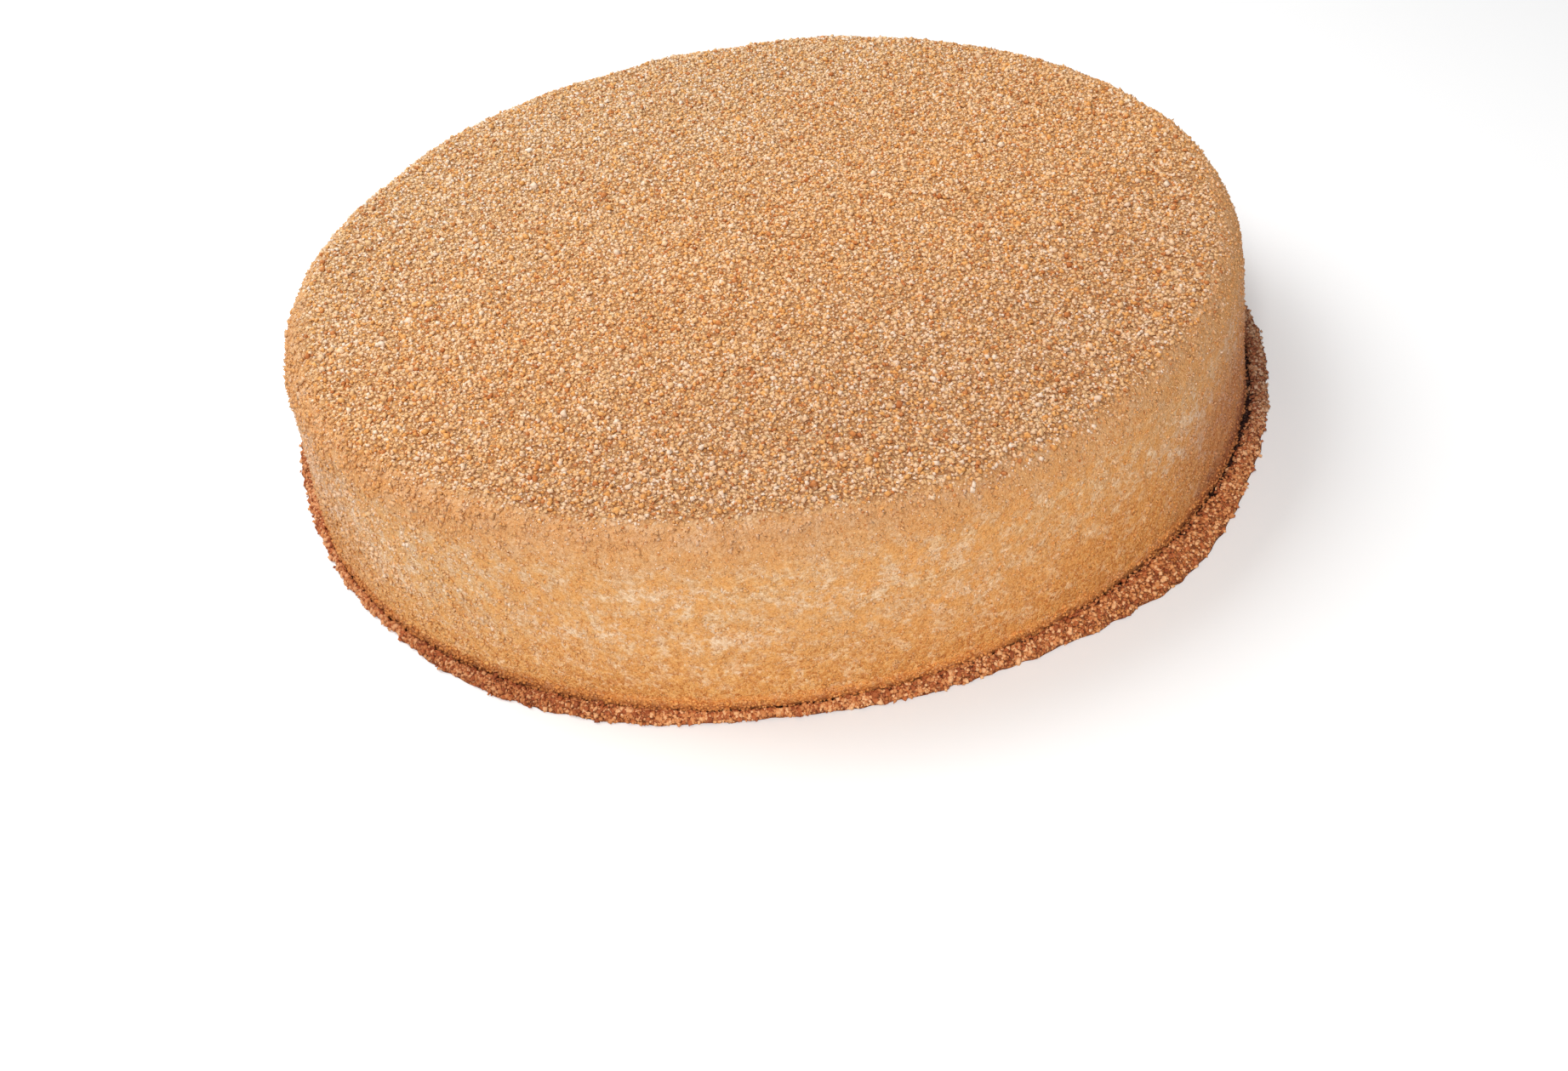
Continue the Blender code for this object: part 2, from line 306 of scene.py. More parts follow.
def towards(tree, source, way, low, high):
    """0 to 1 from low to high along a way over the table."""
    node = tree.nodes.new("ShaderNodeVectorMath")
    node.operation = "DOT_PRODUCT"
    node.inputs[1].default_value = (*way, 0)
    tree.links.new(source, node.inputs[0])
    return between(tree, node.outputs["Value"], low, high)


on_top = between(painted_light, level.outputs["Z"], 0.0450, 0.0480)
on_side = between(painted_light, level.outputs["Z"], 0.046, 0.040)
low_down = between(painted_light, level.outputs["Z"], 0.038, 0.016)
at_foot = between(painted_light, level.outputs["Z"], 0.0060, 0.0045)
PAINTED_LIGHT_TINTS = (  # where, the way over the table, where it starts and is full along that way, and the painted tint there
    (on_top, (0.45, -1), 0.01, 0.11, (0.91, 0.91, 0.96, 1)),
    (on_top, (-0.6, 1), -0.02, 0.11, (0.98, 1.07, 1.20, 1)),
    (on_side, (-0.77, -0.64), 0.118, 0.131, (1.02, 1.10, 1.22, 1)),
    (on_side, (-1, 0), 0.095, 0.128, (0.88, 0.90, 1.03, 1)),
    (on_side, (0.45, -0.89), 0.118, 0.131, (1.01, 0.95, 0.88, 1)),
    (on_side, (1, 0), 0.085, 0.128, (0.91, 0.87, 0.97, 1)),
    (low_down, (1, 0), 0.080, 0.118, (0.76, 0.66, 0.78, 1)),
    (at_foot, (1, 0), 0.112, 0.135, (0.63, 0.66, 0.83, 1)),
    (at_foot, (-0.8, -0.6), 0.060, 0.120, (0.86, 0.72, 0.66, 1)),
    (at_foot, (0.35, -1), 0.085, 0.125, (1.15, 1.07, 1.00, 1)),
)
shade = (1, 1, 1, 1)
for here, way, start, full, tint in PAINTED_LIGHT_TINTS:
    share = math_node(painted_light, "MULTIPLY", here, towards(painted_light, place, way, start, full))
    shade = mixed(painted_light, share, shade, tint)
painted_light.links.new(shade, painted_light_out.inputs["Shade"])

# Dry crushed biscuit, as fine as sand: grains from pale to brown, and a rough, dull surface.
biscuit_grain, grain_in, grain_out = shader_group(
    "biscuit_grain",
    [
        ("Base", "Color", (0.7, 0.4, 0.2, 1)),
        ("Grains to the metre", "Float", 1500.0),
        ("Contrast", "Float", 0.5),
    ],
    [("Color", "Color"), ("Height", "Float")],
)
place = biscuit_grain.nodes.new("ShaderNodeTexCoord").outputs["Object"]
fine = biscuit_grain.nodes.new("ShaderNodeTexNoise")
fine.inputs["Detail"].default_value = 3.0
fine.inputs["Roughness"].default_value = 0.65
biscuit_grain.links.new(place, fine.inputs["Vector"])
biscuit_grain.links.new(grain_in.outputs["Grains to the metre"], fine.inputs["Scale"])
pale = between(biscuit_grain, fine.outputs["Fac"], 0.50, 0.72)
pale = math_node(biscuit_grain, "MULTIPLY", pale, grain_in.outputs["Contrast"])
brown = between(biscuit_grain, fine.outputs["Fac"], 0.50, 0.30)
brown = math_node(biscuit_grain, "MULTIPLY", brown, grain_in.outputs["Contrast"])
colour = mixed(biscuit_grain, pale, grain_in.outputs["Base"], (0.42, 0.23, 0.13, 1), "SCREEN")
colour = mixed(biscuit_grain, brown, colour, (0.70, 0.56, 0.44, 1), "MULTIPLY")
# The painted light and shade above is multiplied into every biscuit colour.
colour = mixed(biscuit_grain, 1, colour, grouped(biscuit_grain, painted_light).outputs["Shade"], "MULTIPLY")
biscuit_grain.links.new(colour, grain_out.inputs["Color"])
biscuit_grain.links.new(fine.outputs["Fac"], grain_out.inputs["Height"])

# Crumb pressed into the cream: angular grains side by side, each with its own tone, with painted shade in
# the gaps between.
pressed_crumb, pressed_in, pressed_out = shader_group(
    "pressed_crumb",
    [("Crumbs to the metre", "Float", 750.0)],
    [("Tone", "Float"), ("Shaded_gap", "Float"), ("Height", "Float")],
)
place = pressed_crumb.nodes.new("ShaderNodeTexCoord").outputs["Object"]
bent = pressed_crumb.nodes.new("ShaderNodeTexNoise")
bent.inputs["Scale"].default_value = 900
pressed_crumb.links.new(place, bent.inputs["Vector"])
shift = pressed_crumb.nodes.new("ShaderNodeVectorMath")
shift.operation = "MULTIPLY_ADD"
shift.inputs[1].default_value = (0.0009, 0.0009, 0.0009)
pressed_crumb.links.new(bent.outputs["Color"], shift.inputs[0])
pressed_crumb.links.new(place, shift.inputs[2])
cells = pressed_crumb.nodes.new("ShaderNodeTexVoronoi")
edges = pressed_crumb.nodes.new("ShaderNodeTexVoronoi")
edges.feature = "DISTANCE_TO_EDGE"
for node in (cells, edges):
    pressed_crumb.links.new(shift.outputs["Vector"], node.inputs["Vector"])
    pressed_crumb.links.new(pressed_in.outputs["Crumbs to the metre"], node.inputs["Scale"])
tone = pressed_crumb.nodes.new("ShaderNodeSeparateColor")
pressed_crumb.links.new(cells.outputs["Color"], tone.inputs[0])
pressed_crumb.links.new(tone.outputs[0], pressed_out.inputs["Tone"])
# The gaps between the crumbs, where shade is painted dark.
gap = between(pressed_crumb, edges.outputs["Distance"], 0.16, 0.02)
pressed_crumb.links.new(gap, pressed_out.inputs["Shaded_gap"])
own_height = math_node(pressed_crumb, "ADD", math_node(pressed_crumb, "MULTIPLY", tone.outputs[1], 0.5), 0.5)
dome = between(pressed_crumb, edges.outputs["Distance"], 0.0, 0.35)
proud = math_node(pressed_crumb, "MULTIPLY", dome, own_height)
pressed_crumb.links.new(proud, pressed_out.inputs["Height"])


def ramp_node(tree, factor, colours):
    """Colours from first to last, evenly spaced, for a factor from 0 to 1."""
    node = tree.nodes.new("ShaderNodeValToRGB")
    elements = node.color_ramp.elements
    while len(elements) < len(colours):
        elements.new(0.5)
    for number, colour in enumerate(colours):
        elements[number].position = number / (len(colours) - 1)
        elements[number].color = colour
    tree.links.new(factor, node.inputs[0])
    return node.outputs[0]


def dry_surface(name, roughness):
    """A material of dry biscuit: a dull Principled shader with the grain group before it."""
    material = bpy.data.materials.new(name)
    material.use_nodes = True
    tree = material.node_tree
    shader = tree.nodes["Principled BSDF"]
    shader.inputs["Roughness"].default_value = roughness
    shader.inputs["Specular IOR Level"].default_value = 0.2
    grain = grouped(tree, biscuit_grain)
    tree.links.new(grain.outputs["Color"], shader.inputs["Base Color"])
    bump = tree.nodes.new("ShaderNodeBump")
    tree.links.new(grain.outputs["Height"], bump.inputs["Height"])
    tree.links.new(bump.outputs["Normal"], shader.inputs["Normal"])
    return material, tree, grain, bump


def from_axis(tree, place):
    """The distance from the cake's upright middle line."""
    flat = tree.nodes.new("ShaderNodeVectorMath")
    flat.operation = "MULTIPLY"
    flat.inputs[1].default_value = (1, 1, 0)
    tree.links.new(place, flat.inputs[0])
    out = tree.nodes.new("ShaderNodeVectorMath")
    out.operation = "LENGTH"
    tree.links.new(flat.outputs["Vector"], out.inputs[0])
    return out.outputs["Value"]


COAT_GOLD = (
    (0.55, 0.29, 0.12, 1),
    (0.66, 0.38, 0.17, 1),
    (0.71, 0.43, 0.21, 1),
    (0.74, 0.465, 0.23, 1),
    (0.82, 0.565, 0.32, 1),
)
COAT_TOASTED = (
    (0.53, 0.19, 0.045, 1),
    (0.67, 0.28, 0.07, 1),
    (0.74, 0.34, 0.095, 1),
    (0.79, 0.41, 0.14, 1),
)
COAT_TAN = (0.62, 0.30, 0.115, 1)
COAT_HONEY = (0.75, 0.35, 0.10, 1)
COAT_CREAM = (0.86, 0.62, 0.41, 1)
# The foot band's colour: browner crumb darkened as painted shade.
COAT_FOOT_SHADE = (0.39, 0.122, 0.040, 1)
BED_CRUMBS = (
    (0.50, 0.22, 0.07, 1),
    (0.66, 0.33, 0.115, 1),
    (0.72, 0.41, 0.165, 1),
    (0.76, 0.47, 0.22, 1),
    (0.84, 0.60, 0.36, 1),
)
BED_GAP_SHADE = (0.34, 0.14, 0.05, 1)
DUST_TO_THE_METRE = 1350
BED_TO_THE_METRE = 780

coat, tree, grain, bump = dry_surface("crumb_coat", 0.9)
zones = grouped(tree, side_zones)
dust = grouped(tree, pressed_crumb)
dust.inputs["Crumbs to the metre"].default_value = DUST_TO_THE_METRE
colour = ramp_node(tree, dust.outputs["Tone"], COAT_GOLD)
colour = mixed(tree, math_node(tree, "MULTIPLY", zones.outputs["Mottle"], 0.45), colour, COAT_TAN)
colour = mixed(tree, math_node(tree, "MULTIPLY", zones.outputs["Cloud"], 0.85), colour, COAT_HONEY)
colour = mixed(tree, zones.outputs["Golden"], colour, ramp_node(tree, dust.outputs["Tone"], COAT_TOASTED))
speckled = math_node(tree, "MULTIPLY", dust.outputs["Tone"], 0.35)
speckled = math_node(tree, "ADD", zones.outputs["Cream"], speckled)
speckled = math_node(tree, "SUBTRACT", speckled, math_node(tree, "MULTIPLY", zones.outputs["Cloud"], 0.70))
colour = mixed(tree, between(tree, speckled, -0.15, 0.95), colour, COAT_CREAM)
colour = mixed(tree, math_node(tree, "MULTIPLY", zones.outputs["Rim"], 0.6), colour, COAT_TAN)
# The dark foot band: partly browner crumb, partly painted shade.
colour = mixed(tree, zones.outputs["Foot_shade"], colour, COAT_FOOT_SHADE)
bed = grouped(tree, pressed_crumb)
bed.inputs["Crumbs to the metre"].default_value = BED_TO_THE_METRE
bed_colour = ramp_node(tree, bed.outputs["Tone"], BED_CRUMBS)
place = tree.nodes.new("ShaderNodeTexCoord").outputs["Object"]
drawn_in = math_node(tree, "MULTIPLY", towards(tree, place, (-0.27, -0.96), 0.096, 0.124), 0.0020)
over_top = between(tree, math_node(tree, "ADD", from_axis(tree, place), drawn_in), 0.1285, 0.1215)
# Painted shade in the gaps between the crumbs on top.
bed_colour = mixed(tree, math_node(tree, "MULTIPLY", bed.outputs["Shaded_gap"], over_top), bed_colour, BED_GAP_SHADE)
tree.links.new(mixed(tree, over_top, colour, bed_colour), grain.inputs["Base"])
grain.inputs["Grains to the metre"].default_value = 1700
grain.inputs["Contrast"].default_value = 0.7
pits = tree.nodes.new("ShaderNodeMix")
tree.links.new(over_top, pits.inputs[0])
tree.links.new(math_node(tree, "MULTIPLY", dust.outputs["Height"], 0.32), pits.inputs[2])
tree.links.new(bed.outputs["Height"], pits.inputs[3])
finer = math_node(tree, "MULTIPLY", grain.outputs["Height"], 0.45)
tree.links.new(math_node(tree, "ADD", pits.outputs[0], finer), bump.inputs["Height"])
bump.inputs["Strength"].default_value = 0.8
bump.inputs["Distance"].default_value = 0.0007
cake_coat.data.materials.append(coat)
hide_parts("cake")
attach(cake_coat, "root")


# The coarse crumb on top: thousands of angular chips of crushed biscuit, 1 to 3 mm across, thrown on while
# the cream was wet. Some are nearly white inside, most are golden, and those from the biscuits' edges are
# toasted brown. They thin out and grow finer over the rim.
COARSE_CHIPS = 23000
SMALL_CHIPS = 38000
COVERED_RADIUS = 0.1325
GOLDEN_ANGLE = math.pi * (3 - math.sqrt(5))
surface = BVHTree.FromObject(cake_coat, bpy.context.evaluated_depsgraph_get())


def block(size):
    """(corners, faces) of a plain block to break crumbs from. Smaller crumbs have fewer faces."""
    bpy.ops.object.select_all(action="DESELECT")
    if size == "chip":
        bpy.ops.mesh.primitive_cube_add(size=2 / math.sqrt(3))
    elif size == "speck":
        low_tip = (0, 0, 1 / 3)
        bpy.ops.mesh.primitive_cone_add(vertices=3, radius1=0.94, radius2=0, depth=4 / 3, location=low_tip)
        bpy.ops.object.transform_apply()
    else:
        bpy.ops.mesh.primitive_cone_add(
            vertices=4, radius1=1, radius2=0, depth=1, end_fill_type="NOTHING", location=(0, 0, 0.5)
        )
        bpy.ops.object.transform_apply()
        bpy.ops.object.mode_set(mode="EDIT")
        bpy.ops.mesh.select_all(action="SELECT")
        bpy.ops.mesh.duplicate()
        bpy.ops.transform.resize(value=(1, 1, -1), center_override=(0, 0, 0))
        bpy.ops.mesh.select_all(action="SELECT")
        bpy.ops.mesh.remove_doubles(threshold=0.001)
        bpy.ops.mesh.normals_make_consistent(inside=False)
        bpy.ops.object.mode_set(mode="OBJECT")
    model = bpy.context.object
    model.data.calc_loop_triangles()
    corners = np.array([vert.co[:] for vert in model.data.vertices])
    faces = np.array([triangle.vertices[:] for triangle in model.data.loop_triangles])
    bpy.data.objects.remove(model)
    return corners, faces


def random_turns(count, draw):
    """Evenly random rotations, as matrices."""
    q = draw.normal(size=(count, 4))
    w, x, y, z = (q / np.linalg.norm(q, axis=1)[:, None]).T
    rows = [
        [1 - 2 * (y * y + z * z), 2 * (x * y - z * w), 2 * (x * z + y * w)],
        [2 * (x * y + z * w), 1 - 2 * (x * x + z * z), 2 * (y * z - x * w)],
        [2 * (x * z - y * w), 2 * (y * z + x * w), 1 - 2 * (x * x + y * y)],
    ]
    return np.moveaxis(np.array(rows), 2, 0)


def seated(starts, ways, tree=surface):
    """Where a crumb pressed in against its way meets the cake near each start, and which way up it lies."""
    places, normals, kept = [], [], []
    for number, (start, way) in enumerate(zip(starts, ways)):
        place, normal, _, _ = tree.ray_cast(Vector(start) + Vector(way) * 0.02, -Vector(way), 0.05)
        if place is not None:
            places.append(place)
            normals.append(normal)
            kept.append(number)
    return np.array(places), np.array(normals), np.array(kept, int)


BLOCKS = {size: block(size) for size in ("chip", "grit", "speck")}


def crumb_piece(name, places, normals, sizes, draw, size, sunk, flatness=0.8):
    """One piece of many loose crumbs, each a small block broken at random to its own angular shape."""
    corners, faces = BLOCKS[size]
    count = len(places)
    shapes = corners[None] * draw.uniform(0.62, 1.22, (count, len(corners), 1))
    shapes = shapes * draw.uniform(0.70, 1.34, (count, 1, 3))
    shapes = np.einsum("nij,nkj->nki", random_turns(count, draw), shapes)
    along = np.einsum("nkj,nj->nk", shapes, normals)
    shapes = shapes - (1 - flatness) * along[:, :, None] * normals[:, None, :]
    middles = places + normals * (sizes / 2 * (1 - 2 * sunk))[:, None]
    points = (middles[:, None, :] + shapes * (sizes / 2)[:, None, None]).reshape(-1, 3)
    points[:, 2] = np.maximum(points[:, 2], 0.00005)  # what lies on the table is flat below
    loops = (faces[None] + len(corners) * np.arange(count)[:, None, None]).reshape(-1)
    mesh = bpy.data.meshes.new(name)
    mesh.vertices.add(len(points))
    mesh.vertices.foreach_set("co", points.astype(np.float32).ravel())
    mesh.loops.add(len(loops))
    mesh.loops.foreach_set("vertex_index", loops.astype(np.int32))
    mesh.polygons.add(len(loops) // 3)
    mesh.polygons.foreach_set("loop_start", np.arange(0, len(loops), 3, dtype=np.int32))
    tone = mesh.attributes.new("tone", "FLOAT", "FACE")
    tone.data.foreach_set("value", np.repeat(draw.random(count), len(faces)).astype(np.float32))
    mesh.update(calc_edges=True)
    mesh.validate()
    piece = bpy.data.objects.new(name, mesh)
    bpy.context.scene.collection.objects.link(piece)
    return piece


# The side zones again, for the loose crumbs on the side; the foot band's painted shade is among them.
ZONE_COLOURS = (
    ("Cloud", 0.7, COAT_HONEY),
    ("Golden", 0.75, COAT_TOASTED[2]),
    ("Cream", 0.7, COAT_CREAM),
    ("Rim", 0.5, COAT_TAN),
    ("Foot_shade", 0.7, COAT_FOOT_SHADE),
)


def crumb_material(name, dark, light, contrast=0.55, zoned=False):
    """Broken biscuit of one batch: each crumb has its own tone between two colours."""
    material, tree, grain, bump = dry_surface(name, 0.88)
    own = tree.nodes.new("ShaderNodeAttribute")
    own.attribute_name = "tone"
    colour = mixed(tree, own.outputs["Fac"], dark, light)
    if zoned:
        zones = grouped(tree, side_zones)
        for zone, share, over in ZONE_COLOURS:
            colour = mixed(tree, math_node(tree, "MULTIPLY", zones.outputs[zone], share), colour, over)
    tree.links.new(colour, grain.inputs["Base"])
    grain.inputs["Grains to the metre"].default_value = 1900
    grain.inputs["Contrast"].default_value = contrast
    bump.inputs["Strength"].default_value = 0.35
    bump.inputs["Distance"].default_value = 0.0003
    return material


BISCUITS = {
    "cream": ((0.85, 0.60, 0.40, 1), (0.91, 0.71, 0.52, 1)),
    "straw": ((0.81, 0.51, 0.28, 1), (0.87, 0.59, 0.35, 1)),
    "golden": ((0.76, 0.43, 0.185, 1), (0.83, 0.51, 0.24, 1)),
    "amber": ((0.74, 0.325, 0.085, 1), (0.82, 0.415, 0.13, 1)),
    "toasted": ((0.50, 0.155, 0.04, 1), (0.66, 0.25, 0.07, 1)),
}
SHARES = np.array([0.13, 0.27, 0.30, 0.20, 0.10])

draw = np.random.default_rng(26)
count = COARSE_CHIPS + SMALL_CHIPS
number = draw.permutation(count)
radius = COVERED_RADIUS * np.sqrt((number + 0.5) / count)
angle = number * GOLDEN_ANGLE
spread = 0.0007
x = radius * np.cos(angle) + draw.normal(0, spread, count)
y = radius * np.sin(angle) + draw.normal(0, spread, count)
radius, angle = np.hypot(x, y), np.arctan2(y, x)
border = 0.1270 + 0.0010 * np.sin(5 * angle + 0.8) + 0.0008 * np.sin(9 * angle)
border -= 0.0030 * np.exp(-(((angle + 1.85) / 0.5) ** 2))
coarse = np.arange(count) < COARSE_CHIPS
sizes = np.where(coarse, draw.gamma(3.0, 0.00014, count) + 0.0009, draw.uniform(0.0007, 0.0012, count))
fading = np.clip((radius - border + 0.004) / 0.0065, 0, 1)
sizes = np.clip(sizes * (1 - 0.5 * fading), 0.0005, 0.0025)
kept = draw.random(count) > np.where(coarse, 1.02 * fading, 0.42 * fading)
x, y, radius, angle, coarse, sizes = (values[kept] for values in (x, y, radius, angle, coarse, sizes))
outward = np.clip((radius - FLAT_RADIUS) / RIM_ROUNDING, 0, 0.97)
ways = np.stack([outward * np.cos(angle), outward * np.sin(angle), np.sqrt(1 - outward**2)], 1)
starts = np.stack([x, y, SIDE_TOP + RIM_ROUNDING * np.sqrt(1 - outward**2)], 1)
places, normals, hit = seated(starts, ways)
coarse, sizes = coarse[hit], sizes[hit]
clumps = np.array([noise.noise(Vector(place) * 60) for place in places])
mixture = np.cumsum(SHARES)
pick = np.clip(draw.random(len(places)) + 0.10 * clumps, 0, 0.999)
kinds = np.searchsorted(mixture, pick)
for kind, (name, tones) in enumerate(BISCUITS.items()):
    chips = crumb_material(name + "_biscuit", *tones)
    for size in ("chip", "grit"):
        of_kind = (kinds == kind) & (coarse if size == "chip" else ~coarse)
        sunk = draw.uniform(0.20, 0.55, of_kind.sum())
        chosen = (places[of_kind], normals[of_kind], sizes[of_kind])
        piece = crumb_piece(f"top_{name}_{size}", *chosen, draw, size, sunk)
        piece.data.materials.append(chips)
        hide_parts("cake")
        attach(piece, "root")


# The fine crumb on the rim and side: biscuit dust and grains under a millimetre, patted on by hand, so that
# only their tops stand out of the cream.
FINE_CRUMBS = 46000
RIM_SHARE = 0.22
DUST_SHARES = (
    ("cream", 0.0, 0.12),
    ("straw", 0.12, 0.42),
    ("golden", 0.42, 0.76),
    ("amber", 0.76, 1.0),
)
draw = np.random.default_rng(41)
number = np.arange(FINE_CRUMBS)
angle = number * GOLDEN_ANGLE + draw.normal(0, 0.01, FINE_CRUMBS)
down = (draw.permutation(FINE_CRUMBS) + 0.5) / FINE_CRUMBS
turn = np.where(down < RIM_SHARE, (1 - down / RIM_SHARE) * math.radians(75), 0)
part = np.clip((down - RIM_SHARE) / (1 - RIM_SHARE), 0, 0.97)
radius = np.where(down < RIM_SHARE, FLAT_RADIUS + RIM_ROUNDING * np.cos(turn), side_radius(part))
height = np.where(down < RIM_SHARE, SIDE_TOP + RIM_ROUNDING * np.sin(turn), side_height(part))
starts = np.stack([radius * np.cos(angle), radius * np.sin(angle), height], 1)
ways = np.stack([np.cos(turn) * np.cos(angle), np.cos(turn) * np.sin(angle), np.sin(turn)], 1)
places, normals, hit = seated(starts, ways)
sizes = np.clip(draw.gamma(6.0, 0.00014, len(hit)), 0.0004, 0.0015)
far_left = np.clip((-0.87 * places[:, 0] - 0.50 * places[:, 1] - 0.100) / 0.025, 0, 1)
sizes *= 1 + 0.35 * far_left + 0.35 * np.clip((places[:, 2] - 0.043) / 0.003, 0, 1)
pick = draw.random(len(hit))
for name, low_share, high_share in DUST_SHARES:
    of_kind = (pick >= low_share) & (pick < high_share)
    grains = crumb_material(name + "_dust", *BISCUITS[name], contrast=0.5, zoned=True)
    sunk = draw.uniform(0.40, 0.72, of_kind.sum()) - 0.15 * far_left[of_kind]
    chosen = (places[of_kind], normals[of_kind], sizes[of_kind])
    piece = crumb_piece(f"side_{name}_crumb", *chosen, draw, "speck", sunk)
    piece.data.materials.append(grains)
    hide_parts("cake")
    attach(piece, "root")

# Browner crumbs caught on the foot of the side, in patches, where it was patted last.
FOOT_FRINGE = 6500
FRINGE_SHARES = (("golden", 0.0, 0.30), ("amber", 0.30, 0.66), ("toasted", 0.66, 1.0))


def noise_round(angle, fineness):
    """Noise that runs on without a break round the foot."""
    return noise.noise(Vector((math.cos(angle), math.sin(angle), 0)) * fineness)


angle = np.arange(FOOT_FRINGE) * GOLDEN_ANGLE
caught = np.array([noise_round(a, 7) for a in angle])
angle = angle[draw.random(FOOT_FRINGE) < 0.62 + 1.1 * caught]
rise = draw.exponential(0.0015, len(angle)) + 0.0006
starts = np.stack([FOOT_RADIUS * np.cos(angle), FOOT_RADIUS * np.sin(angle), rise], 1)
ways = np.stack([np.cos(angle), np.sin(angle), np.zeros(len(angle))], 1)
places, normals, hit = seated(starts, ways)
sizes = draw.uniform(0.0007, 0.0014, len(hit))
pick = draw.random(len(hit))
for name, low_share, high_share in FRINGE_SHARES:
    of_kind = (pick >= low_share) & (pick < high_share)
    sunk = draw.uniform(0.15, 0.5, of_kind.sum())
    chosen = (places[of_kind], normals[of_kind], sizes[of_kind])
    piece = crumb_piece(f"fringe_{name}_crumb", *chosen, draw, "grit", sunk)
    piece.data.materials.append(crumb_material(name + "_fringe", *BISCUITS[name], zoned=True))
    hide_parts("cake")
    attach(piece, "root")


# The crumbs that fell off while the side was patted: a low uneven bank all round the foot, a few millimetres
# high, parted from the cake by a narrow dark gap. It is dry biscuit, browner than the cake.
BANK_SWELLS = (  # direction in degrees, how much wider there, spread in degrees
    (-49, 0.0042, 13),
    (-3, 0.0012, 9),
    (31, 0.0018, 14),
    (74, 0.0013, 16),
    (118, 0.0017, 12),
    (177, 0.0036, 11),
    (-150, -0.0032, 20),
    (-94, -0.0025, 14),
)
BANK_SECTION = (  # from under the cake's foot to the outer edge, and up
    (-1.0, 0.0),
    (-1.0, 0.2),
    (-0.1, 0.2),
    (0.0, 0.80),
    (0.12, 0.95),
    (0.28, 1.0),
    (0.46, 0.90),
    (0.64, 0.70),
    (0.81, 0.43),
    (0.93, 0.20),
    (1.0, 0.0),
)
BANK_AROUND = 1000
BANK_WIDTH = 0.0040
NARROWEST_BANK = 0.0014
NARROWEST_GAP = 0.0007


def degrees_away(angle, direction):
    return (math.degrees(angle) - direction + 180) % 360 - 180


def gap_width(angle):
    """The dark gap to the cake: under a millimetre on the left, and two millimetres on the right."""
    return NARROWEST_GAP + 0.0013 * math.exp(-((degrees_away(angle, -15) / 32) ** 2))


def ragged_edge(angle):
    """How far the bank's inner edge wanders: the wider the gap, the more."""
    return 1.3 * (gap_width(angle) - NARROWEST_GAP) * noise_round(angle, 45)


def bank_inner(angle):
    foot = FOOT_RADIUS * (1 + out_of_round(angle) / TOP_RADIUS)
    return foot + gap_width(angle) + ragged_edge(angle)


def bank_width(angle):
    width = BANK_WIDTH
    for direction, change, spread in BANK_SWELLS:
        width += change * math.exp(-((degrees_away(angle, direction) / spread) ** 2))
    return max(width, NARROWEST_BANK) + 0.0009 * noise_round(angle, 38) - ragged_edge(angle)


def bank_height(angle):
    return 0.0012 + 0.22 * bank_width(angle)


def bank_point(angle, along, up):
    """A point of the bank: along is 0 at its face to the cake, 1 at its outer edge and -1 under the foot."""
    reach = bank_width(angle) if along >= 0 else gap_width(angle) + 0.0020
    radius = bank_inner(angle) + along * reach
    return Vector((radius * math.cos(angle), radius * math.sin(angle), up * bank_height(angle)))


bpy.ops.object.select_all(action="DESELECT")
bpy.ops.mesh.primitive_circle_add(vertices=BANK_AROUND, radius=0.1, fill_type="NOTHING")
foot_bank = bpy.context.object
foot_bank.name = "foot_bank"
bpy.ops.object.mode_set(mode="EDIT")
bpy.ops.mesh.select_all(action="SELECT")
for step in range(1, len(BANK_SECTION)):
    bpy.ops.mesh.extrude_edges_move(TRANSFORM_OT_translate={"value": (0, 0, 0.001)})
bpy.ops.mesh.select_all(action="SELECT")
bpy.ops.object.mode_set(mode="OBJECT")
edit = bmesh.new()
edit.from_mesh(foot_bank.data)
for vert in edit.verts:
    along, up = BANK_SECTION[round(vert.co.z / 0.001)]
    vert.co = bank_point(math.atan2(vert.co.y, vert.co.x), along, up)
ends = [edge for edge in edit.edges if edge.is_boundary]
bmesh.ops.bridge_loops(edit, edges=ends)
bmesh.ops.recalc_face_normals(edit, faces=edit.faces)
edit.to_mesh(foot_bank.data)
edit.free()
rough = foot_bank.vertex_groups.new(name="rough")
rough.add([vert.index for vert in foot_bank.data.vertices if vert.co.z > 0.0002], 1.0, "REPLACE")
rough_modifier(foot_bank, "heaped crumb", 0.0022, 0.0012)
finish_modifiers(foot_bank)
bpy.ops.object.shade_smooth()

HEAPED_CRUMBS = ((0.24, 0.06, 0.018, 1), (0.46, 0.16, 0.045, 1), (0.62, 0.27, 0.09, 1))
HEAP_GAP_SHADE = (0.12, 0.03, 0.01, 1)
HEAP_SHADE = (0.045, 0.012, 0.008, 1)
HEAPED_TO_THE_METRE = 1000

fallen, tree, grain, bump = dry_surface("fallen_biscuit", 0.92)
place = tree.nodes.new("ShaderNodeTexCoord").outputs["Object"]
heaped = grouped(tree, pressed_crumb)
heaped.inputs["Crumbs to the metre"].default_value = HEAPED_TO_THE_METRE
colour = ramp_node(tree, heaped.outputs["Tone"], HEAPED_CRUMBS)
